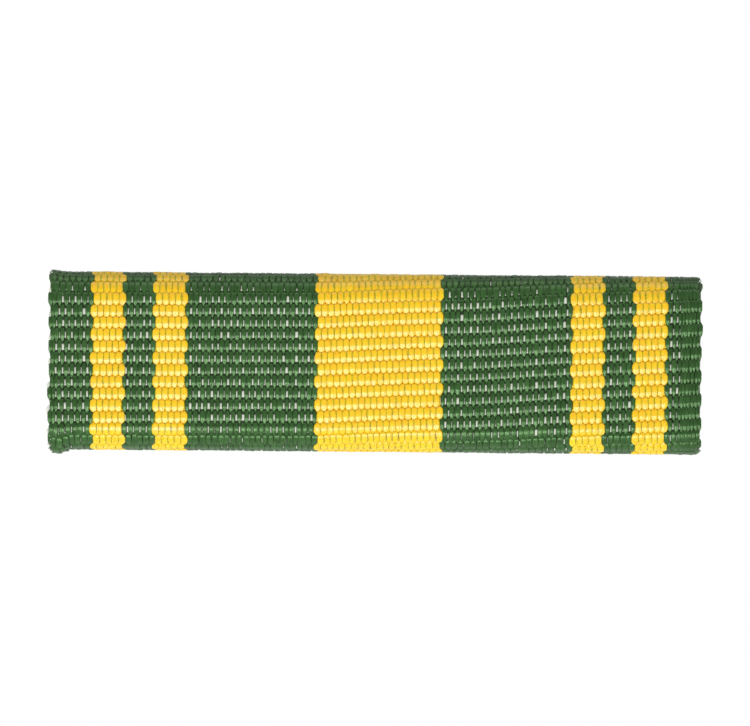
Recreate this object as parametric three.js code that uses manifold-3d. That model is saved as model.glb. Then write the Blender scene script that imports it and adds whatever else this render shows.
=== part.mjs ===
// Service ribbon bar: a striped ribbon wrapped round a folded brass bar, which slides
// on a mounting bar with two pointed posts, each held by a spring clutch.
// Millimetres. +X runs along the bar, +Z is up as worn, and the front faces -Y.
// The origin is the centre of the mounting bar's rear face, which lies on the garment.
import * as THREE from 'three';
import * as BufferGeometryUtils from 'three/addons/utils/BufferGeometryUtils.js';
import Module from 'manifold-3d';

const wasm = await Module();
wasm.setup();

// ---- Driving dimensions ----

const RIBBON_WIDTH = 34.9;
const FACE_HEIGHT = 9.9;
const RIBBON_THICKNESS = 0.5;
const RIBBON_GAP = 0.05;
const TUCK_LENGTH = 0.7;

const BAR_LENGTH = 34.5;
const BAR_THICKNESS = 0.45;
const CHANNEL_DEPTH = 1.2;
const LIP_LENGTH = 1.0;

const MOUNT_LENGTH = 33;
const MOUNT_THICKNESS = 0.4;
const MOUNT_PROUD = 0.05;
const RAIL_CLEARANCE = 0.1;
const RAIL_REACH = 3.45;
const WEB_HALF_HEIGHT = 1.65;
const MOUNT_INNER_BEND = 0.1;

const POST_SPACING = 19;
const POST_RADIUS = 0.525;
const POST_LENGTH = 8.2;
const POST_TIP_LENGTH = 1.3;
const POST_HEAD_RADIUS = 1;
const POST_HEAD_THICKNESS = 0.35;
const POST_NECK_RADIUS = 0.4;
const POST_NECK_LENGTH = 0.7;
const POST_NECK_SLOPE = 0.15;
const POST_COLLAR_LENGTH = 0.25;
const POST_HOLE_RADIUS = 0.62;

const GARMENT_GAP = 2.3;
const CAP_RADIUS = 4.6;
const CAP_HEIGHT = 1.15;
const CAP_SHEET = 0.35;
const CAP_RIM_WIDTH = 0.5;
const CLUTCH_HOLE_RADIUS = 0.8;
const RETAINER_SHEET = 0.3;
const RETAINER_FLOOR_GAP = 0.07;
const RETAINER_SIDE_GAP = 0.15;
const DOME_RADIUS = 2.25;
const DOME_TOP = 3.1;
const WINDOW_WIDTH = 2.6;
const WINDOW_SILL = 0.15;
const WING_SHEET = 0.26;
const WING_PIVOT = { y: 2.5, z: 2.1 };
const WING_TIP = { y: 4.3, z: 4.25 };
const TONGUE_HALF_WIDTH = 0.95;
const TAB_HALF_WIDTH = 2.75;
const JAW_LEVEL = 1.35;
const JAW_NOTCH_RADIUS = 0.62;

const LATHE_STEPS = 40;
const POST_STEPS = 20;

// A rounded corner is cut by one point between its ends, this share of its radius in from the corner.
const CORNER_CUT = 1 - Math.SQRT1_2;

// ---- Depths worked out from the front of the garment forwards ----

const lipRearFace = -(MOUNT_PROUD + RIBBON_THICKNESS + RIBBON_GAP);
const lipMiddle = lipRearFace - BAR_THICKNESS / 2;
const bendRadius = (CHANNEL_DEPTH + BAR_THICKNESS) / 2;
const faceMiddle = lipMiddle - 2 * bendRadius;
const channelFloor = faceMiddle + BAR_THICKNESS / 2;
const barTop = FACE_HEIGHT / 2 - RIBBON_THICKNESS - RIBBON_GAP - BAR_THICKNESS / 2;
const lipEnd = barTop - bendRadius - LIP_LENGTH + BAR_THICKNESS / 2;

// ---- Materials ----

function makeMaterial(colour, roughness, metalness) {
  return new THREE.MeshStandardMaterial({ color: colour, roughness, metalness });
}

const greenRibbon = makeMaterial(0x2d5a32, 0.85, 0);
const darkBrass = makeMaterial(0xa98142, 0.42, 1);
const brightBrass = makeMaterial(0xc79c50, 0.3, 1);
const springBrass = makeMaterial(0xb98d45, 0.35, 1);

// ---- Shape helpers ----

// Follows straight runs between corners and rounds each corner by its own radius.
// A corner is [u, v, radius]; the result holds points with the direction of travel there.
function roundedRoute(corners) {
  const arcSteps = 7;
  const at = ([u, v]) => new THREE.Vector2(u, v);
  const route = [];
  corners.forEach((corner, i) => {
    const here = at(corner);
    const arriving = i > 0 ? here.clone().sub(at(corners[i - 1])).normalize() : null;
    const leaving = i < corners.length - 1 ? at(corners[i + 1]).sub(here).normalize() : null;
    if (!arriving || !leaving) {
      route.push({ point: here, heading: arriving ?? leaving });
      return;
    }
    const turn = Math.atan2(arriving.cross(leaving), arriving.dot(leaving));
    const radius = corner[2];
    const start = here.clone().addScaledVector(arriving, -radius * Math.tan(Math.abs(turn) / 2));
    const side = new THREE.Vector2(-arriving.y, arriving.x).multiplyScalar(Math.sign(turn));
    const centre = start.clone().addScaledVector(side, radius);
    for (let step = 0; step <= arcSteps; step += 1) {
      const angle = (turn * step) / arcSteps;
      route.push({
        point: start.clone().rotateAround(centre, angle),
        heading: arriving.clone().rotateAround(new THREE.Vector2(), angle),
      });
    }
  });
  return route;
}

// The outline of a bent strip: a route given thickness, with both ends rounded over.
function bentStrip(corners, thickness) {
  const endSteps = 4;
  const route = roundedRoute(corners);
  const half = thickness / 2;
  const beside = ({ point, heading }, angle) =>
    point.clone().addScaledVector(heading.clone().rotateAround(new THREE.Vector2(), angle), half);
  const endRound = (end, from) =>
    Array.from({ length: endSteps - 1 }, (_, i) => beside(end, from - (Math.PI * (i + 1)) / endSteps));
  const left = route.map((place) => beside(place, Math.PI / 2));
  const right = route.map((place) => beside(place, -Math.PI / 2)).reverse();
  const outline = [
    ...left,
    ...endRound(route.at(-1), Math.PI / 2),
    ...right,
    ...endRound(route[0], -Math.PI / 2),
  ];
  const leastStep = 1e-6;
  return outline.filter((p, i) => p.distanceTo(outline.at(i - 1)) > leastStep);
}

// Carries a section drawn in (Y, Z) along X, centred on X = 0.
function alongX(outline, length) {
  const geometry = new THREE.ExtrudeGeometry(new THREE.Shape(outline), {
    depth: length,
    bevelEnabled: false,
  });
  geometry.translate(0, 0, -length / 2);
  const sectionAxes = new THREE.Matrix4().makeBasis(
    new THREE.Vector3(0, 1, 0),
    new THREE.Vector3(0, 0, 1),
    new THREE.Vector3(1, 0, 0),
  );
  return geometry.applyMatrix4(sectionAxes);
}

// Carries an outline drawn in (X, Z) along Y.
function alongY(shape, depth) {
  const geometry = new THREE.ExtrudeGeometry(shape, { depth, bevelEnabled: false, curveSegments: 10 });
  return geometry.rotateX(Math.PI / 2).translate(0, depth, 0);
}

// Turns a closed profile of [radius, depth] points about the Y axis.
function turned(profile, steps) {
  const points = profile.map(([radius, depth]) => new THREE.Vector2(radius, depth));
  return new THREE.LatheGeometry(points, steps);
}

function toSolid(geometry) {
  const bare = geometry.clone();
  bare.deleteAttribute('normal');
  bare.deleteAttribute('uv');
  const sameCorner = 1e-5;
  const merged = BufferGeometryUtils.mergeVertices(bare, sameCorner);
  return new wasm.Manifold(new wasm.Mesh({
    numProp: 3,
    vertProperties: Float32Array.from(merged.attributes.position.array),
    triVerts: Uint32Array.from(merged.index.array),
  }));
}

function fromSolid(solid) {
  const { vertProperties, triVerts } = solid.getMesh();
  const geometry = new THREE.BufferGeometry();
  geometry.setAttribute('position', new THREE.BufferAttribute(vertProperties, 3));
  geometry.setIndex(new THREE.BufferAttribute(triVerts, 1));
  geometry.computeVertexNormals();
  return geometry;
}

function named(name, geometry, material) {
  const mesh = new THREE.Mesh(geometry, material);
  mesh.name = name;
  return mesh;
}

// ---- Ribbon and its folded bar ----

// Round the front, over both edges, back over the lips and tucked into the channel.
function makeRibbon() {
  const away = BAR_THICKNESS / 2 + RIBBON_GAP + RIBBON_THICKNESS / 2;
  const rear = lipMiddle + away;
  const front = faceMiddle - away;
  const inside = lipMiddle - away;
  const top = barTop + away;
  const underLip = lipEnd - away;
  const half = [
    [front, top, bendRadius + away],
    [rear, top, bendRadius + away],
    [rear, underLip, away],
    [inside, underLip, away],
    [inside, lipEnd + TUCK_LENGTH],
  ];
  return alongX(bentStrip(mirrored(half), RIBBON_THICKNESS), RIBBON_WIDTH);
}

// A flat face with both long edges folded back into lips.
function makeRibbonBar() {
  const half = [
    [faceMiddle, barTop, bendRadius],
    [lipMiddle, barTop, bendRadius],
    [lipMiddle, lipEnd],
  ];
  return alongX(bentStrip(mirrored(half), BAR_THICKNESS), BAR_LENGTH);
}

// The whole symmetric route, from its lower end to its upper end.
function mirrored(half) {
  const lower = half.map(([y, z, radius]) => [y, -z, radius]).reverse();
  return [...lower, ...half];
}

// ---- Mounting bar and posts ----

// A hat section: rails that run in the channel and a web that stands between the lips.
function makeMountingBar() {
  const web = -MOUNT_THICKNESS / 2;
  const rail = channelFloor + RAIL_CLEARANCE + MOUNT_THICKNESS / 2;
  const wall = WEB_HALF_HEIGHT - MOUNT_THICKNESS / 2;
  const bend = MOUNT_THICKNESS / 2 + MOUNT_INNER_BEND;
  const half = [
    [web, wall, bend],
    [rail, wall, bend],
    [rail, RAIL_REACH - MOUNT_THICKNESS / 2],
  ];
  const blank = toSolid(alongX(bentStrip(mirrored(half), MOUNT_THICKNESS), MOUNT_LENGTH));
  const drill = turned([
    [0, -2 * MOUNT_THICKNESS],
    [POST_HOLE_RADIUS, -2 * MOUNT_THICKNESS],
    [POST_HOLE_RADIUS, 2 * MOUNT_THICKNESS],
    [0, 2 * MOUNT_THICKNESS],
  ], POST_STEPS);
  const holes = [-1, 1].map((side) => toSolid(drill.clone().translate(side * POST_SPACING / 2, 0, 0)));
  return fromSolid(holes.reduce((solid, hole) => solid.subtract(hole), blank));
}

// A nail: its head is inside the hat, and its shank has a neck and a blunted point.
function makePost() {
  const headTop = -MOUNT_THICKNESS - RIBBON_GAP;
  const headFront = headTop - POST_HEAD_THICKNESS;
  const chamfer = 0.1;
  const tipStart = POST_LENGTH - POST_TIP_LENGTH;
  const neckEnd = tipStart - POST_COLLAR_LENGTH;
  const neckStart = neckEnd - POST_NECK_LENGTH;
  const bluntRadius = 0.1;
  const bluntLength = 0.06;
  return turned([
    [0, headFront],
    [POST_HEAD_RADIUS - chamfer, headFront],
    [POST_HEAD_RADIUS, headFront + chamfer],
    [POST_HEAD_RADIUS, headTop],
    [POST_RADIUS, headTop],
    [POST_RADIUS, neckStart],
    [POST_NECK_RADIUS, neckStart + POST_NECK_SLOPE],
    [POST_NECK_RADIUS, neckEnd - POST_NECK_SLOPE],
    [POST_RADIUS, neckEnd],
    [POST_RADIUS, tipStart],
    [bluntRadius, POST_LENGTH - bluntLength],
    [0, POST_LENGTH],
  ], POST_STEPS);
}

// ---- Clutch: depths are counted from the face of the cap that meets the garment ----

// A shallow pressed cup whose rim is rolled over the retainer.
function makeCap() {
  const inner = CAP_RADIUS - CAP_SHEET;
  const rimInner = inner - CAP_RIM_WIDTH;
  const rimUnder = CAP_HEIGHT - RETAINER_SHEET;
  const rimDip = 0.05;
  const pressed = 0.3;
  const rolled = 0.25;
  return turned([
    [CLUTCH_HOLE_RADIUS, 0],
    [CAP_RADIUS - pressed, 0],
    [CAP_RADIUS - pressed * CORNER_CUT, pressed * CORNER_CUT],
    [CAP_RADIUS, pressed],
    [CAP_RADIUS, CAP_HEIGHT - rolled],
    [CAP_RADIUS - rolled * CORNER_CUT, CAP_HEIGHT - rolled * CORNER_CUT],
    [CAP_RADIUS - rolled, CAP_HEIGHT],
    [rimInner, CAP_HEIGHT - rimDip],
    [rimInner, rimUnder],
    [inner, rimUnder],
    [inner, CAP_SHEET],
    [CLUTCH_HOLE_RADIUS, CAP_SHEET],
    [CLUTCH_HOLE_RADIUS, 0],
  ], LATHE_STEPS);
}

// A disc held under the rim, with a dome over the jaws and a window for each wing.
function makeRetainer() {
  const floor = CAP_SHEET + RETAINER_FLOOR_GAP;
  const floorTop = floor + RETAINER_SHEET;
  const discRadius = CAP_RADIUS - CAP_SHEET - RETAINER_SIDE_GAP;
  const shoulder = 0.45;
  const inside = DOME_RADIUS - RETAINER_SHEET;
  const insideTop = DOME_TOP - RETAINER_SHEET;
  const insideShoulder = shoulder - RETAINER_SHEET;
  const body = toSolid(turned([
    [CLUTCH_HOLE_RADIUS, floor],
    [discRadius, floor],
    [discRadius, floorTop],
    [DOME_RADIUS, floorTop],
    [DOME_RADIUS, DOME_TOP - shoulder],
    [DOME_RADIUS - shoulder * CORNER_CUT, DOME_TOP - shoulder * CORNER_CUT],
    [DOME_RADIUS - shoulder, DOME_TOP],
    [CLUTCH_HOLE_RADIUS, DOME_TOP],
    [CLUTCH_HOLE_RADIUS, insideTop],
    [inside - insideShoulder, insideTop],
    [inside, insideTop - insideShoulder],
    [inside, floorTop],
    [CLUTCH_HOLE_RADIUS, floorTop],
    [CLUTCH_HOLE_RADIUS, floor],
  ], LATHE_STEPS));
  const windowBase = floorTop + WINDOW_SILL;
  const windowTop = insideTop - 0.02;
  const through = 2 * DOME_RADIUS + 1;
  const opening = new THREE.BoxGeometry(WINDOW_WIDTH, windowTop - windowBase, through);
  opening.translate(0, (windowTop + windowBase) / 2, 0);
  return fromSolid(body.subtract(toSolid(opening)));
}

// Seen along the post: a narrow tongue to the jaw, and a broad tab to squeeze.
function wingOutline() {
  const tongue = TONGUE_HALF_WIDTH;
  const tab = TAB_HALF_WIDTH;
  const reach = CAP_RADIUS - 0.1;
  const corner = Math.acos(tab / reach);
  const start = -0.5;
  const tongueEnd = 2.35;
  const tabStart = 3.05;
  const ease = 0.55;
  const shape = new THREE.Shape();
  shape.moveTo(tongue, start);
  shape.lineTo(tongue, tongueEnd);
  shape.bezierCurveTo(tongue, tongueEnd + ease, tab, tabStart - ease, tab, tabStart);
  shape.absarc(0, 0, reach, corner, Math.PI - corner, false);
  shape.lineTo(-tab, tabStart);
  shape.bezierCurveTo(-tab, tabStart - ease, -tongue, tongueEnd + ease, -tongue, tongueEnd);
  shape.lineTo(-tongue, start);
  return shape;
}

// The upper wing as a bent strip: jaw, riser through the window, shelf and tab.
function makeWing() {
  const jaw = [JAW_LEVEL, 0.25];
  const riserFoot = [JAW_LEVEL, 1.25, 0.3];
  const riserTop = [WING_PIVOT.y - 0.18, WING_PIVOT.z - 0.12, 0.5];
  const tabBend = [WING_PIVOT.y + 0.25, WING_PIVOT.z + 1.05, 0.6];
  const tip = [WING_TIP.y, WING_TIP.z];
  const strip = bentStrip([jaw, riserFoot, riserTop, tabBend, tip], WING_SHEET);
  const cutter = alongY(wingOutline(), 2 * WING_TIP.y).translate(0, -WING_SHEET, 0);
  const notchTop = WING_PIVOT.y - WING_SHEET;
  const notch = turned([
    [0, 0],
    [JAW_NOTCH_RADIUS, 0],
    [JAW_NOTCH_RADIUS, notchTop],
    [0, notchTop],
  ], POST_STEPS);
  const blank = toSolid(alongX(strip, 2 * CAP_RADIUS)).intersect(toSolid(cutter));
  return fromSolid(blank.subtract(toSolid(notch)));
}

function makeClutch(side) {
  const clutch = new THREE.Group();
  const wing = makeWing();
  const lowerWing = named(`${side}_clutch_lower_wing`, wing, springBrass);
  lowerWing.rotation.y = Math.PI;
  clutch.add(
    named(`${side}_clutch_cap`, makeCap(), brightBrass),
    named(`${side}_clutch_retainer`, makeRetainer(), brightBrass),
    named(`${side}_clutch_upper_wing`, wing, springBrass),
    lowerWing,
  );
  return clutch;
}

// ---- Assembly ----

const ribbonBar = new THREE.Group();
ribbonBar.add(
  named('ribbon', makeRibbon(), greenRibbon),
  named('ribbon_bar', makeRibbonBar(), darkBrass),
  named('mounting_bar', makeMountingBar(), darkBrass),
);
for (const [side, sign] of [['left', -1], ['right', 1]]) {
  const fastening = new THREE.Group();
  const clutch = makeClutch(side);
  clutch.position.y = GARMENT_GAP;
  fastening.position.x = (sign * POST_SPACING) / 2;
  fastening.add(named(`${side}_post`, makePost(), darkBrass), clutch);
  ribbonBar.add(fastening);
}

export default ribbonBar;
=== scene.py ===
"""The looks of the service ribbon bar: its woven ribbon, yarn by yarn, and its brass fittings.

Lengths are in millimetres until a mesh is made, which is in metres.
"""

import math

import bpy
import numpy as np
from mathutils import Matrix, Vector


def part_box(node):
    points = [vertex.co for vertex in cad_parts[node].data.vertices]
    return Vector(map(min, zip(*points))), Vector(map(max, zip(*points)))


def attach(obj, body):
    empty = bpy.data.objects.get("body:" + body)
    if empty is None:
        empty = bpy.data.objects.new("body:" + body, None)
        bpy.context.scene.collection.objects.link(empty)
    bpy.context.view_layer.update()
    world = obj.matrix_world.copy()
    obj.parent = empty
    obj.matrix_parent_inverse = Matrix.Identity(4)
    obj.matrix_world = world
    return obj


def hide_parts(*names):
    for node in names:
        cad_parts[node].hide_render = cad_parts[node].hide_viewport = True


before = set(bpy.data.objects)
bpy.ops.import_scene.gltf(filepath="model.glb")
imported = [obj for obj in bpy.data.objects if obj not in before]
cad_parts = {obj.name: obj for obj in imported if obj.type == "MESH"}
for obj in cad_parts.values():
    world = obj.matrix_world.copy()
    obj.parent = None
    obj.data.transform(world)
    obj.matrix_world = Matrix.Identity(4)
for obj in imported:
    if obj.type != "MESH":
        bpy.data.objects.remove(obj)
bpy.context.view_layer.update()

MM = 0.001
rng = np.random.default_rng(1958)

# ---- Sizes from the frame ----

ribbon_low, ribbon_high = (np.array(corner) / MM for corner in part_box("ribbon"))
RIBBON_WIDTH = ribbon_high[0] - ribbon_low[0]
CLOTH_HALF = 0.25
BAR_SHEET = 0.45
CLOTH_GAP = 0.05
LIP_EDGE = 2.35
TUCK_END = 3.45

# ---- The weave ----

ROW_PITCH = 0.634
FIRST_CROSSING = 0.54
YARN_PITCH = RIBBON_WIDTH / 209
LEFT_FINE_YARNS = 3
RIGHT_FINE_YARNS = 12
FINE_PITCH = 0.098
# each stripe's colour and its number of yarns, from left to right
STRIPES = (
    ("green", LEFT_FINE_YARNS + 12),
    ("yellow", 10),
    ("green", 10),
    ("yellow", 10),
    ("green", 42),
    ("yellow", 40),
    ("green", 42),
    ("yellow", 10),
    ("green", 10),
    ("yellow", 10),
    ("green", 4 + RIGHT_FINE_YARNS),
)
YARN_HALF = 0.05
MOST_THICKNESS = 0.06
CORD_HALF_HEIGHT = 0.05
CORD_HALF_WIDTH = 0.195
# the web joins the cords into one sheet where the real cloth has only gaps; its material paints it dark as
# shade among the green, and yellow as bounce light among the yellow
WEB_DEPTH = 0.045
WEB_THICKNESS = 0.02
# a yarn's height, from -1 to 1, at rows below the crest of its float
FLOAT_PROFILE = (
    (-1, -1),
    (-0.62, -1),
    (-0.46, -0.05),
    (-0.34, 0.9),
    (-0.26, 1),
    (0.12, 1),
    (0.6, -0.12),
    (0.8, -1),
    (1, -1),
)
PROFILE_ROUNDING = 0.035
CORD_DROP = 0.08
# a float tapers from TIP_START to TIP_END below its crest, and towards HEAD_END above it
TIP_START = 0.28
TIP_END = 0.76
HEAD_END = 0.6
HEAD_LENGTH = {"green": 0.26, "yellow": 0.36, "fine": 0.26}
HEAD_ROUNDING = {"green": 0.5, "yellow": 0.8, "fine": 0.5}
TIP_FILL = 0.2
# widths of a float, in yarn pitches
CREST_FILL = {"green": 1.64, "yellow": 2.55, "fine": 2.3}
# over an edge of the bar the floats widen and the cloth flattens
FOLD_SPREAD = 0.35
FOLD_FLATTENING = 0.6
CORD_FLATTENING = 0.8
MOST_FILL = 2.7
# how much the yarns vary: in width, place across, tone, and the ends of their floats
WIDTH_JITTER = {"green": 0.09, "yellow": 0.02, "fine": 0.1}
SIDE_JITTER = {"green": 0.014, "yellow": 0.004, "fine": 0.01}
MEAN_TONE = {"green": 0.48, "yellow": 0.5, "fine": 0.12}
FLOAT_TONE_JITTER = 0.22
YARN_TONE_JITTER = 0.14
TIP_JITTER = 0.03
LEAN_JITTER = 0.012
LIFT_JITTER = 0.008
PLY_DEPTH = 0.1
PLY_TURN = 1.1

WEFT_INSET = 0.1
WEFT_COLUMNS = 150
WEFT_POINTS_PER_ROW = 10
DYED_END = 0.6
TURN_RADIUS = 0.062
TURN_INSET = {"left": 0.12, "right": 0.17}
TURN_FULLNESS = {"left_low": 0.18, "left_high": 0.11, "right": 0.03}

# Where a yarn is sampled over two rows: closely on its float and its two slopes, and once underneath.
FLOAT_SAMPLES = (-0.7, -0.58, -0.47, -0.38, -0.29, -0.12, 0.04, 0.14, 0.22, 0.33, 0.44, 0.55, 0.66, 0.78, 1.0)
SECTION_ANGLES = np.radians([0, 35, 65, 90, 115, 145, 180, 270])
SECTION_FLATNESS = 0.55


def smoothstep(low, high, value):
    t = np.clip((value - low) / (high - low), 0, 1)
    return t * t * (3 - 2 * t)


# ---- The ribbon's route round the bar ----


def make_route():
    """Half of the cloth's middle line, from mid face to the cut end: its length, y, z and heading."""
    front, rear = ribbon_low[1] + CLOTH_HALF, ribbon_high[1] - CLOTH_HALF
    top = ribbon_high[2] - CLOTH_HALF
    bend = (rear - front) / 2
    lip_bend = BAR_SHEET / 2 + CLOTH_GAP + CLOTH_HALF
    lip_centre = LIP_EDGE + BAR_SHEET / 2
    runs = (
        (top - bend, 0),
        (math.pi * bend, -1 / bend),
        (top - bend - lip_centre, 0),
        (math.pi * lip_bend, -1 / lip_bend),
        (TUCK_END - lip_centre, 0),
    )
    step = 0.002
    curvature = np.concatenate([np.full(round(length / step), turn) for length, turn in runs])
    heading = math.pi / 2 + np.concatenate([[0], np.cumsum(curvature) * step])
    middle = (heading[1:] + heading[:-1]) / 2
    y = front + np.concatenate([[0], np.cumsum(np.cos(middle)) * step])
    z = np.concatenate([[0], np.cumsum(np.sin(middle)) * step])
    return np.arange(len(heading)) * step, y, z, heading


ROUTE = make_route()
HALF_LENGTH = ROUTE[0][-1]


def hump(x, middle, reach):
    """A smooth hump, 1 at its middle."""
    return np.exp(-((x - middle) / reach) ** 2)


def quarter_round(radius, from_side):
    """How far a rounded corner has fallen at a distance in from the side."""
    into_corner = np.clip(radius - from_side, 0, radius * 0.98)
    return radius - np.sqrt(radius**2 - into_corner**2)


def skew(x):
    """How far a row has climbed at x: slowly on the left, then faster, with a dip right of the middle."""
    gentle = 0.0087 * x
    steep = 0.0415 * np.clip(x + 3.2, 0, None)
    return gentle + steep - 0.07 * hump(x, 5.8, 2.6)


def edge_shift(x, z):
    """How far the folded edges stray up or down near the ends: flared on the left, with rounded corners."""
    from_left, from_right = x + RIBBON_WIDTH / 2, RIBBON_WIDTH / 2 - x
    flare = np.where(z > 0, 0.09 * hump(from_left, 0.22, 0.32), -0.24 * hump(from_left, 0.42, 0.5))
    left_radius = np.where(z > 0, 0.14, 0.34)
    right_radius = 0.3
    round_off = quarter_round(right_radius, from_right) + quarter_round(left_radius, from_left)
    return smoothstep(3.0, 4.6, np.abs(z)) * (flare - np.sign(z) * round_off)


def on_route(s, x, height):
    """The points (x, y, z) at length s along the route and at a height out from the cloth's middle."""
    lengths, ys, zs, headings = ROUTE
    far = np.abs(s)
    heading = np.interp(far, lengths, headings)
    side = np.where(s < 0, -1, 1)
    y = np.interp(far, lengths, ys) - np.sin(heading) * height
    z = side * (np.interp(far, lengths, zs) + np.cos(heading) * height)
    z = z + edge_shift(x, z)
    return np.stack([np.broadcast_to(x, y.shape), y, z], -1)


def row_bounds():
    """The first and last row phases that stay within the route at every x."""
    climbs = skew(np.linspace(ribbon_low[0], ribbon_high[0], 50))
    return (
        (-HALF_LENGTH - climbs.min()) / ROW_PITCH + FIRST_CROSSING + 0.02,
        (HALF_LENGTH - climbs.max()) / ROW_PITCH + FIRST_CROSSING - 0.02,
    )


FIRST_ROW, LAST_ROW = row_bounds()


def row_length(u, x):
    """The length along the route of row phase u at x, with a slight unevenness in the rows."""
    drift = 0.012 * np.sin(2.1 * u - 0.35 * x + 1.3)
    return ROW_PITCH * (u - FIRST_CROSSING) + skew(x) + drift * (1 - smoothstep(12, 16, np.abs(u)))


def at_fold(s):
    """From 0 on the flat cloth to 1 where it turns over an edge of the bar."""
    far = np.abs(s)
    return smoothstep(3.0, 4.2, far) * (1 - smoothstep(8.0, 8.6, far))


# ---- Meshes from grids ----


def make_mesh(name, points, quads, uv=None, attributes=None):
    """A smooth mesh of quads as a scene object. Points are in millimetres; uv is one pair for each corner."""
    mesh = bpy.data.meshes.new(name)
    mesh.vertices.add(len(points))
    mesh.vertices.foreach_set("co", (points * MM).astype(np.float32).ravel())
    mesh.loops.add(quads.size)
    mesh.loops.foreach_set("vertex_index", quads.astype(np.int32).ravel())
    mesh.polygons.add(len(quads))
    mesh.polygons.foreach_set("loop_start", np.arange(0, quads.size, 4, dtype=np.int32))
    mesh.polygons.foreach_set("use_smooth", np.ones(len(quads), bool))
    if uv is not None:
        layer = mesh.uv_layers.new(name="thread")
        layer.data.foreach_set("uv", uv.astype(np.float32).ravel())
    for label, values in (attributes or {}).items():
        attribute = mesh.attributes.new(label, "FLOAT", "POINT")
        attribute.data.foreach_set("value", values.astype(np.float32).ravel())
    mesh.update(calc_edges=True)
    mesh.validate()
    piece = bpy.data.objects.new(name, mesh)
    bpy.context.scene.collection.objects.link(piece)
    return piece


def tube_quads(tubes, rings, sides):
    """The faces of closed tubes, their ends filled with quads. Each tube has rings x sides points."""
    ring, side = np.meshgrid(np.arange(rings - 1), np.arange(sides), indexing="ij")
    onward = (side + 1) % sides
    here, above = ring * sides, (ring + 1) * sides
    wall = np.stack([here + side, here + onward, above + onward, above + side], -1).reshape(-1, 4)
    ladder = np.array([[i, sides - 1 - i, sides - 2 - i, i + 1] for i in range(sides // 2 - 1)])
    faces = np.concatenate([wall, ladder, ladder[:, ::-1] + (rings - 1) * sides])
    return (faces[None] + (np.arange(tubes) * rings * sides)[:, None, None]).reshape(-1, 4)


# ---- Yarns and weft ----


def wave(v):
    """A yarn's height, from -1 to 1, at v rows below the crest of its float."""
    steps_per_row = 200
    phase, height = np.array(FLOAT_PROFILE).T
    grid = np.linspace(-1, 1, 2 * steps_per_row + 1)
    level = np.interp(grid, phase, height)
    reach = round(PROFILE_ROUNDING * steps_per_row)
    padded = np.concatenate([level[-reach - 1 : -1], level, level[1 : reach + 1]])
    soft = np.convolve(padded, np.ones(2 * reach + 1) / (2 * reach + 1), "valid")
    return np.interp((v + 1) % 2 - 1, grid, soft)


def yarn_samples(first, last, parity):
    """Row phases at which a yarn is sampled, so that its floats, on rows of one parity, get most of them."""
    rows = np.arange(math.floor(first) - 3, math.ceil(last) + 3)
    crests = rows[(rows - parity) % 2 == 0]
    phases = np.unique(np.round((crests[:, None] - np.array(FLOAT_SAMPLES)).ravel(), 6))
    inside = phases[(phases > first + 0.03) & (phases < last - 0.03)]
    return np.concatenate([[first], inside, [last]])


def place_yarns():
    """Each yarn's stripe, kind, place and pitch. The yarns of the selvages are finer and closer."""
    stripe = np.concatenate([np.full(count, number) for number, (_, count) in enumerate(STRIPES)])
    kind = np.array([STRIPES[number][0] for number in stripe], dtype="<U6")
    kind[:LEFT_FINE_YARNS] = "fine"
    kind[-RIGHT_FINE_YARNS:] = "fine"
    pitch = np.where(kind == "fine", FINE_PITCH, YARN_PITCH)
    gap = np.zeros(len(stripe))
    gap[-RIGHT_FINE_YARNS] = RIBBON_WIDTH - pitch.sum()
    x = ribbon_low[0] + np.cumsum(pitch + gap) - pitch / 2
    return stripe, kind, x, pitch


def stripe_yarns(number, parity, yarns):
    """The closed tubes of one stripe's warp yarns of one parity."""
    stripe, kind, place, pitch = yarns
    numbers = np.flatnonzero((stripe == number) & (np.arange(len(stripe)) % 2 == parity))
    pitch = pitch[numbers, None]

    def by_kind(table):
        """A value for each yarn, from its kind."""
        return np.array([table[kind[n]] for n in numbers])[:, None]

    x = place[numbers, None] + rng.normal(0, 1, (len(numbers), 1)) * by_kind(SIDE_JITTER)
    u = yarn_samples(FIRST_ROW, LAST_ROW, parity)[None, :]
    height = wave(parity - u)
    over = np.clip(height, 0, 1)
    row = np.round((u[0] - parity) / 2).astype(int)
    row -= row.min()

    def by_float(spread):
        """A random number for each float of each yarn."""
        return rng.normal(0, 1, (len(numbers), row.max() + 1))[:, row] * spread

    crest = by_kind(CREST_FILL) * (1 + by_float(by_kind(WIDTH_JITTER)))
    s = row_length(u, x)
    fold = at_fold(s)
    crest = np.minimum(crest + FOLD_SPREAD * fold, MOST_FILL)
    below_crest = (parity - u + 1) % 2 - 1
    tip = (TIP_END + by_float(TIP_JITTER) - below_crest) / (TIP_END - TIP_START)
    head = np.clip((HEAD_END + below_crest) / by_kind(HEAD_LENGTH), 0, 1) ** by_kind(HEAD_ROUNDING)
    fill = crest * np.clip(np.minimum(tip, head), TIP_FILL, 1)
    tone = by_float(FLOAT_TONE_JITTER) + rng.normal(0, YARN_TONE_JITTER, (len(numbers), 1))
    lean, lift = by_float(LEAN_JITTER), by_float(LIFT_JITTER)
    swing = (CORD_HALF_HEIGHT + YARN_HALF) * (1 - FOLD_FLATTENING * fold)
    centres = on_route(s, x, swing * height + lift * over)
    centres[..., 0] += lean * over
    half_width = fill * pitch / 2
    # a float keeps the area of its section as it narrows
    half_thick = np.minimum(YARN_HALF * crest / fill, MOST_THICKNESS)
    return tubes(centres, half_width, half_thick, by_kind(MEAN_TONE) + tone)


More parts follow.
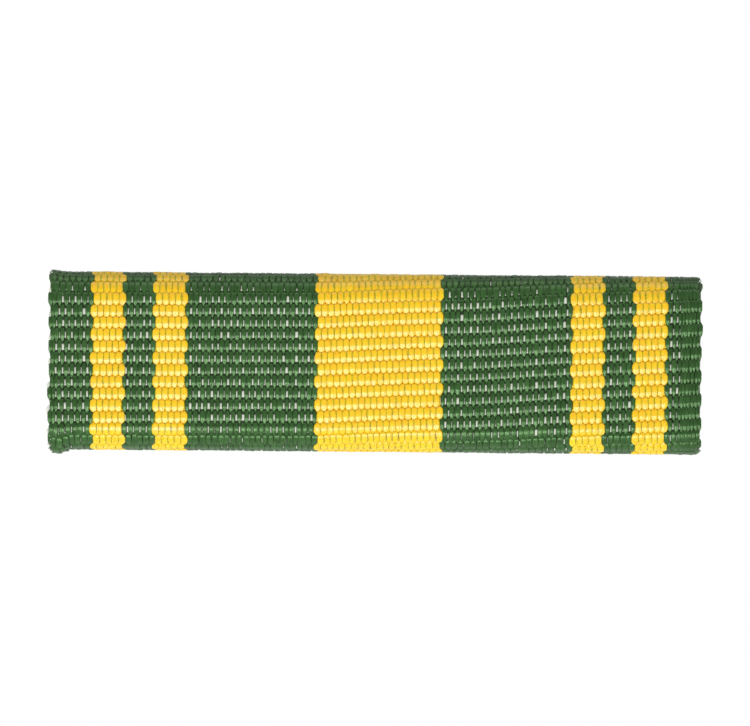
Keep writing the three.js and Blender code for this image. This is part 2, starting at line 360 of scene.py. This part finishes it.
def tubes(centres, half_width, half_thick, tone):
    """Closed tubes along centre lines of (x, y, z): points, quads, and a uv and a tone for each point."""
    count, rings, _ = centres.shape
    along = np.gradient(centres, axis=1)
    along[..., 0] = 0
    along /= np.linalg.norm(along, axis=-1, keepdims=True)
    out = np.stack([np.zeros_like(along[..., 0]), -along[..., 2], along[..., 1]], -1)
    steps = np.linalg.norm(np.diff(centres, axis=1), axis=-1)
    length = np.concatenate([np.zeros((count, 1)), np.cumsum(steps, 1)], 1)
    cos, sin = np.cos(SECTION_ANGLES), np.sin(SECTION_ANGLES)
    wide = np.sign(cos) * np.abs(cos) ** SECTION_FLATNESS
    high = np.sign(sin) * np.abs(sin) ** SECTION_FLATNESS
    twist = rng.uniform(0, 2 * math.pi, (count, 1, 1)) + length[..., None] * (2 * math.pi / PLY_TURN)
    ply = 1 + PLY_DEPTH * np.cos(3 * SECTION_ANGLES + twist)
    points = centres[:, :, None, :] + out[:, :, None, :] * (half_thick[..., None] * high * ply)[..., None]
    points[..., 0] += half_width[..., None] * wide
    sides = len(SECTION_ANGLES)
    across = np.broadcast_to(SECTION_ANGLES / (2 * math.pi), (count, rings, sides))
    number = rng.permutation(count)[:, None, None] * 1.37
    uv = np.stack([across + number, np.broadcast_to(length[..., None], across.shape)], -1)
    tones = np.broadcast_to(tone[..., None], across.shape)
    return points.reshape(-1, 3), tube_quads(count, rings, sides), uv.reshape(-1, 2), tones.ravel()


def make_stripe(number, yarns):
    """One stripe's warp yarns."""
    groups = [stripe_yarns(number, parity, yarns) for parity in (0, 1)]
    first_count = len(groups[0][0])
    points, uv, tones = (np.concatenate([group[i] for group in groups]) for i in (0, 2, 3))
    quads = np.concatenate([groups[0][1], groups[1][1] + first_count])
    name = f"ribbon_warp_{number + 1:02d}_{STRIPES[number][0]}"
    return make_mesh(name, points, quads, uv[quads.ravel()], {"tone": tones})


def make_weft(yarns):
    """The weft cords as one ribbed cloth, closed round its cut ends and its selvages."""
    row_points = round((LAST_ROW - FIRST_ROW) * WEFT_POINTS_PER_ROW) + 1
    u = np.linspace(FIRST_ROW, LAST_ROW, row_points)[:, None]
    x = np.linspace(ribbon_low[0] + WEFT_INSET, ribbon_high[0] - WEFT_INSET, WEFT_COLUMNS)[None, :]
    below = u + CORD_DROP
    from_cord = (below - np.round(below)) * ROW_PITCH / CORD_HALF_WIDTH
    round_side = np.sqrt(np.clip(1 - from_cord**2, 0, 1))
    cord = CORD_HALF_HEIGHT * np.where(np.abs(from_cord) < 1, round_side, -1)
    s = row_length(u, x)
    x = x * np.ones_like(s)
    flattened = 1 - CORD_FLATTENING * at_fold(s)
    outer = on_route(s, x, np.maximum(cord, -WEB_DEPTH) * flattened)
    inner = on_route(s, x, -np.maximum(cord, WEB_DEPTH + WEB_THICKNESS) * flattened)
    rows, cols = s.shape
    index = np.arange(rows * cols).reshape(rows, cols)
    under = index + rows * cols
    face = grid_quads(index)
    back = grid_quads(under)[:, ::-1]
    rim = np.concatenate([index[0, :-1], index[:-1, -1], index[-1, :0:-1], index[:0:-1, 0]])
    rim_next = np.roll(rim, -1)
    wall = np.stack([rim, rim_next, rim_next + rows * cols, rim + rows * cols], -1)
    points = np.concatenate([outer.reshape(-1, 3), inner.reshape(-1, 3)])
    quads = np.concatenate([face, back, wall[:, ::-1]])
    place = np.concatenate([np.stack([x, s], -1).reshape(-1, 2)] * 2)
    # the cords' ends are dyed on the right, where the fine yarns cover them; elsewhere depth runs from 1 on a
    # cord's top to 0 in the web, and the material paints shade where it is low
    depth = np.concatenate([(round_side * (x < RIBBON_WIDTH / 2 - DYED_END)).ravel()] * 2)
    stripe, _, yarn_x, _ = yarns
    # where the weft lies among the yellow stripes; the material paints yellow bounce light there
    among_yellow = np.interp(x, yarn_x, [STRIPES[number][0] == "yellow" for number in stripe])
    attributes = {"tone": depth, "among_yellow": np.concatenate([among_yellow.ravel()] * 2)}
    return make_mesh("ribbon_weft", points, quads, place[quads.ravel()], attributes)


def grid_quads(index):
    """The quads between neighbouring points of a grid of point numbers."""
    return np.stack([index[:-1, :-1], index[:-1, 1:], index[1:, 1:], index[1:, :-1]], -1).reshape(-1, 4)


def make_selvage_loops():
    """The weft's turns at both selvages: one every second row, fuller low on the left, dyed on the right."""
    turns = []
    steps = np.linspace(-1, 1, 15)
    for edge, parity in ((-1, 0), (1, 1)):
        for row in range(math.ceil(FIRST_ROW) + 1, math.floor(LAST_ROW) - 1):
            if row % 2 != parity:
                continue
            side = "right" if edge > 0 else "left"
            place = "right" if edge > 0 else "left_low" if row < 0 else "left_high"
            x_edge = edge * (RIBBON_WIDTH / 2 - TURN_INSET[side])
            fullness = TURN_FULLNESS[place] + rng.normal(0, 0.015)
            x = x_edge + edge * fullness * np.sqrt(np.clip(1 - np.abs(steps) ** 3, 0, 1))
            u = row + 0.5 + 0.42 * steps
            swing = 0.04 * np.sin(math.pi * steps)
            turns.append(on_route(row_length(u, x), x, swing))
    centres = np.array(turns)
    along = np.gradient(centres, axis=1)
    along /= np.linalg.norm(along, axis=-1, keepdims=True)
    sides = 8
    angle = np.arange(sides) * 2 * math.pi / sides
    # the turn lies in the cloth, so its section is spanned by the cloth's normal and the in-plane normal
    normal = np.cross(along, [1.0, 0, 0])
    weak = np.linalg.norm(normal, axis=-1, keepdims=True) < 0.2
    normal = np.where(weak, [0, -1.0, 0], normal)
    normal /= np.linalg.norm(normal, axis=-1, keepdims=True)
    other = np.cross(normal, along)
    points = (
        centres[:, :, None]
        + TURN_RADIUS * np.cos(angle)[None, None, :, None] * normal[:, :, None]
        + TURN_RADIUS * np.sin(angle)[None, None, :, None] * other[:, :, None]
    )
    quads = tube_quads(len(turns), len(steps), sides)
    across = np.broadcast_to(angle / (2 * math.pi), points.shape[:3])
    run = np.broadcast_to(np.arange(len(steps))[None, :, None] * 0.06, points.shape[:3])
    uv = np.stack([across, run], -1).reshape(-1, 2)
    undyed = np.broadcast_to(centres[:, :1, None, 0] < 0, points.shape[:3]).ravel()
    attributes = {"tone": undyed.astype(float), "among_yellow": np.zeros(undyed.size)}
    return make_mesh("ribbon_selvage_turns", points.reshape(-1, 3), quads, uv[quads.ravel()], attributes)


# ---- Materials ----


class Nodes:
    """A material with a Principled shader, and short ways to add and join nodes."""

    def __init__(self, name):
        self.material = bpy.data.materials.new(name)
        self.material.use_nodes = True
        self.tree = self.material.node_tree
        self.shader = self.tree.nodes["Principled BSDF"]

    def add(self, kind, inputs=None, **settings):
        node = self.tree.nodes.new(kind)
        for key, value in settings.items():
            setattr(node, key, value)
        for key, value in (inputs or {}).items():
            self.feed(node.inputs[key], value)
        return node

    def feed(self, socket, value):
        if isinstance(value, bpy.types.NodeSocket):
            self.tree.links.new(value, socket)
        else:
            socket.default_value = value

    def set(self, **values):
        for key, value in values.items():
            self.feed(self.shader.inputs[key.replace("_", " ")], value)

    def mix(self, factor, a, b, blend="MIX"):
        node = self.add("ShaderNodeMix", data_type="RGBA", blend_type=blend)
        for number, value in ((0, factor), (6, a), (7, b)):
            self.feed(node.inputs[number], value)
        return node.outputs[2]

    def ramp(self, value, low, high, out_low=0.0, out_high=1.0):
        inputs = {0: value, 1: low, 2: high, 3: out_low, 4: out_high}
        return self.add("ShaderNodeMapRange", inputs).outputs[0]

    def noise(self, vector, scale, detail=3.0, roughness=0.5, stretch=(1, 1, 1)):
        placed = self.add("ShaderNodeMapping", {"Vector": vector, "Scale": stretch})
        node = self.add(
            "ShaderNodeTexNoise",
            {"Vector": placed.outputs[0], "Scale": scale, "Detail": detail, "Roughness": roughness},
        )
        return node.outputs["Fac"]

    def bump(self, height, strength, distance, after=None):
        inputs = {"Height": height, "Strength": strength, "Distance": distance}
        if after is not None:
            inputs["Normal"] = after
        return self.add("ShaderNodeBump", inputs).outputs[0]


def yarn_material(name, deep, full, bright, glint, roughness, glow):
    """Filament yarn: streaks along it, a tone for each float, and a satin lustre tinted by its dye."""
    n = Nodes(name)
    thread = n.add("ShaderNodeUVMap", uv_map="thread").outputs[0]
    tone = n.add("ShaderNodeAttribute", attribute_name="tone").outputs["Fac"]
    streaks = n.noise(thread, 1.0, detail=3, stretch=(26, 2.2, 1))
    mottle = n.noise(thread, 1.0, detail=2, stretch=(3, 1.7, 1))
    colour = n.mix(n.ramp(tone, 0.1, 0.95), (*deep, 1), (*full, 1))
    colour = n.mix(n.ramp(streaks, 0.42, 0.75, 0, 0.6), colour, (*bright, 1))
    colour = n.mix(n.ramp(mottle, 0.3, 0.55, 0.35, 0), colour, (*deep, 1))
    n.set(Base_Color=colour, Roughness=n.ramp(streaks, 0.25, 0.75, roughness - 0.08, roughness + 0.1))
    n.set(Specular_IOR_Level=0.6, Specular_Tint=(*glint, 1))
    n.set(Subsurface_Weight=glow, Subsurface_Radius=(1.0, 0.7, 0.15), Subsurface_Scale=0.00016)
    n.set(Normal=n.bump(streaks, 0.8, 0.00003))
    return n.material


def weft_material():
    """Undyed cotton cord, plied and matt, with painted shade in the hollows between the cords and painted
    yellow bounce light among the yellow yarns.
    """
    n = Nodes("weft_cotton")
    place = n.add("ShaderNodeUVMap", uv_map="thread").outputs[0]
    depth = n.add("ShaderNodeAttribute", attribute_name="tone").outputs["Fac"]
    slubs = n.noise(place, 1.0, detail=3, stretch=(3, 14, 1))
    ply = n.add("ShaderNodeTexWave", {"Vector": place, "Scale": 2.4, "Distortion": 1.2, "Detail": 1.0})
    ply.bands_direction = "DIAGONAL"
    colour = n.mix(slubs, (0.47, 0.50, 0.41, 1), (0.71, 0.74, 0.64, 1))
    yellow = n.add("ShaderNodeAttribute", attribute_name="among_yellow").outputs["Fac"]
    # painted shade for the hollows between the cords: near black among the green, and painted yellow bounce
    # light among the yellow
    deep = n.mix(n.ramp(yellow, 0.4, 0.6), (0.02, 0.03, 0.012, 1), (0.88, 0.55, 0.012, 1))
    # painted shade: down the cords' sides and in the web the cotton gives way to that colour, as it does on
    # the dyed right ends
    colour = n.mix(n.ramp(depth, 0.25, 0.75, 1, 0), colour, deep)
    # painted yellow bounce light from the yellow yarns, over all the weft among the yellow stripes
    colour = n.mix(n.ramp(yellow, 0.4, 0.6, 0, 0.9), colour, (0.9, 0.6, 0.02, 1))
    n.set(Base_Color=colour, Roughness=n.ramp(slubs, 0.3, 0.7, 0.75, 0.92), Sheen_Weight=0.1)
    n.set(Normal=n.bump(ply.outputs["Fac"], 0.35, 0.00002))
    return n.material


def brass_material(name, base, tarnish, roughness, brushed):
    """Sheet brass: fine scratches one way, cloudy tarnish, and brighter metal on worn edges."""
    n = Nodes(name)
    place = n.add("ShaderNodeTexCoord").outputs["Object"]
    clouds = n.noise(place, 420, detail=5, roughness=0.6)
    spots = n.noise(place, 1900, detail=4, roughness=0.7)
    scratches = n.noise(place, 1000, detail=4, roughness=0.65, stretch=brushed)
    edge = n.add("ShaderNodeNewGeometry").outputs["Pointiness"]
    colour = n.mix(n.ramp(clouds, 0.37, 0.66, 0, 0.85), (*base, 1), (*tarnish, 1))
    colour = n.mix(n.ramp(spots, 0.58, 0.7, 0, 0.6), colour, (*(0.55 * c for c in tarnish), 1))
    colour = n.mix(n.ramp(edge, 0.52, 0.6, 0, 0.6), colour, (*(min(1, 1.25 * c) for c in base), 1))
    rough = n.mix(n.ramp(clouds, 0.35, 0.75, 0, 1), (roughness,) * 3 + (1,), (roughness + 0.2,) * 3 + (1,))
    n.set(Base_Color=colour, Metallic=1.0, Roughness=rough)
    n.set(Normal=n.bump(scratches, 0.22, 0.000012, n.bump(clouds, 0.15, 0.00003)))
    return n.material


GREEN = yarn_material(
    "yarn_green",
    deep=(0.012, 0.043, 0.008),
    full=(0.027, 0.08, 0.019),
    bright=(0.055, 0.14, 0.037),
    glint=(0.6, 1.0, 0.5),
    roughness=0.29,
    glow=0.0,
)
YELLOW = yarn_material(
    "yarn_yellow",
    deep=(0.96, 0.50, 0.002),
    full=(0.97, 0.55, 0.003),
    bright=(0.98, 0.59, 0.008),
    glint=(1.0, 0.88, 0.9),
    roughness=0.31,
    glow=0.8,
)
WEFT = weft_material()
BAR_BRASS = brass_material("bar_brass", (0.60, 0.42, 0.17), (0.30, 0.19, 0.075), 0.36, (0.04, 1, 1))
CLUTCH_BRASS = brass_material("clutch_brass", (0.80, 0.58, 0.25), (0.47, 0.30, 0.11), 0.24, (1, 0.15, 1))
SPRING_BRASS = brass_material("spring_brass", (0.74, 0.54, 0.24), (0.40, 0.26, 0.10), 0.28, (0.08, 1, 1))
POST_BRASS = brass_material("post_brass", (0.70, 0.54, 0.27), (0.42, 0.30, 0.14), 0.26, (1, 0.06, 1))


def give(piece, material):
    """Puts a material on a piece in place of any it has."""
    piece.data.materials.clear()
    piece.data.materials.append(material)


# ---- The ribbon ----


def make_ribbon():
    """The whole ribbon, with the CAD ribbon hidden: the weft as one closed ribbed sheet, and the warp riding
    with it on the same body.
    """
    yarns = place_yarns()
    weft = make_weft(yarns)
    give(weft, WEFT)
    turns = make_selvage_loops()
    give(turns, WEFT)
    others = [turns]
    for number, (colour, _) in enumerate(STRIPES):
        stripe = make_stripe(number, yarns)
        give(stripe, GREEN if colour == "green" else YELLOW)
        others.append(stripe)
    for piece in [weft, *others]:
        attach(piece, "ribbon_unit")
    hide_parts("ribbon")


# ---- The brass fittings, which keep their CAD shapes ----


def finish_metal(node, material, bevel):
    """Merges the facets' corners, rounds the sharp edges and shades the rest smoothly."""
    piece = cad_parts[node]
    if "custom_normal" in piece.data.attributes:
        piece.data.attributes.remove(piece.data.attributes["custom_normal"])
    piece.data.polygons.foreach_set("use_smooth", np.ones(len(piece.data.polygons), bool))
    weld = piece.modifiers.new("merge corners", "WELD")
    weld.merge_threshold = 0.000002
    edges = piece.modifiers.new("round edges", "BEVEL")
    edges.width = bevel * MM
    edges.segments = 2
    edges.limit_method = "ANGLE"
    edges.angle_limit = math.radians(35)
    edges.harden_normals = True
    give(piece, material)


def finish_fittings():
    """Gives every brass node its finish."""
    finish_metal("ribbon_bar", BAR_BRASS, 0.05)
    finish_metal("mounting_bar", BAR_BRASS, 0.05)
    for side in ("left", "right"):
        finish_metal(f"{side}_post", POST_BRASS, 0.03)
        finish_metal(f"{side}_clutch_cap", CLUTCH_BRASS, 0.03)
        finish_metal(f"{side}_clutch_retainer", CLUTCH_BRASS, 0.03)
        for wing in ("upper", "lower"):
            finish_metal(f"{side}_clutch_{wing}_wing", SPRING_BRASS, 0.04)


# ---- Camera, floor and light ----


def make_camera():
    """Square on to the face with a long lens, turned by the half degree that the bar hangs off level."""
    data = bpy.data.cameras.new("camera")
    camera = bpy.data.objects.new("camera", data)
    bpy.context.scene.collection.objects.link(camera)
    distance, field = 400 * MM, 40.15 * MM
    data.sensor_width = 36
    data.lens = data.sensor_width * distance / field
    data.clip_start, data.clip_end = 0.01, 10
    turn = math.radians(0.5)
    right = Vector((math.cos(turn), 0, math.sin(turn)))
    up = Vector((-math.sin(turn), 0, math.cos(turn)))
    back = Vector((0, -1, 0))
    axes = Matrix((right, up, back)).transposed().to_4x4()
    camera.matrix_world = Matrix.Translation((0, ribbon_low[1] * MM - distance, 0)) @ axes
    bpy.context.scene.camera = camera


def make_area(name, place, size, energy):
    """A rectangular lamp that shines on the origin and isn't seen itself."""
    data = bpy.data.lights.new(name, "AREA")
    data.shape = "RECTANGLE"
    data.size, data.size_y = (value * MM for value in size)
    data.energy = energy
    lamp = bpy.data.objects.new(name, data)
    bpy.context.scene.collection.objects.link(lamp)
    lamp.visible_camera = False
    lamp.location = Vector(place) * MM
    lamp.rotation_euler = (-lamp.location).to_track_quat("-Z", "Y").to_euler()


def make_floor():
    """A plain pale paper floor, well below the object."""
    floor_mesh = bpy.data.meshes.new("floor")
    reach, depth = 1.0, -0.2
    floor_mesh.from_pydata(
        [(-reach, -reach, depth), (reach, -reach, depth), (reach, reach, depth), (-reach, reach, depth)],
        [],
        [(0, 1, 2, 3)],
    )
    floor = bpy.data.objects.new("floor", floor_mesh)
    bpy.context.scene.collection.objects.link(floor)
    paper = Nodes("floor_paper")
    grain = paper.noise(paper.add("ShaderNodeTexCoord").outputs["Object"], 900)
    paper.set(Base_Color=paper.mix(grain, (0.80, 0.80, 0.80, 1), (0.86, 0.86, 0.86, 1)), Roughness=0.9)
    floor_mesh.materials.append(paper.material)


def make_room():
    """A white room that is bright to look at but lights the cloth gently."""
    world = bpy.data.worlds.new("room")
    bpy.context.scene.world = world
    world.use_nodes = True
    tree = world.node_tree
    tree.nodes.clear()

    def background(strength):
        node = tree.nodes.new("ShaderNodeBackground")
        node.inputs[0].default_value = (1, 1, 1, 1)
        node.inputs[1].default_value = strength
        return node

    seen = background(1.0)
    fill = background(0.57)
    choose = tree.nodes.new("ShaderNodeMixShader")
    path = tree.nodes.new("ShaderNodeLightPath")
    output = tree.nodes.new("ShaderNodeOutputWorld")
    tree.links.new(path.outputs["Is Camera Ray"], choose.inputs[0])
    tree.links.new(fill.outputs[0], choose.inputs[1])
    tree.links.new(seen.outputs[0], choose.inputs[2])
    tree.links.new(choose.outputs[0], output.inputs[0])


def make_lamps():
    """The key shines from below the front, a weak lamp on the top fold, and two on the brass behind."""
    make_area("key_below", (-15, -139, -97), (65, 55), 0.25)
    make_area("top", (0, -40, 195), (160, 60), 0.08)
    make_area("rear_left", (-280, 220, 20), (240, 70), 0.8)
    make_area("rear_right", (260, 240, -30), (240, 70), 0.7)


make_camera()
make_ribbon()
finish_fittings()
make_floor()
make_room()
make_lamps()
bpy.context.scene.view_settings.view_transform = "Standard"
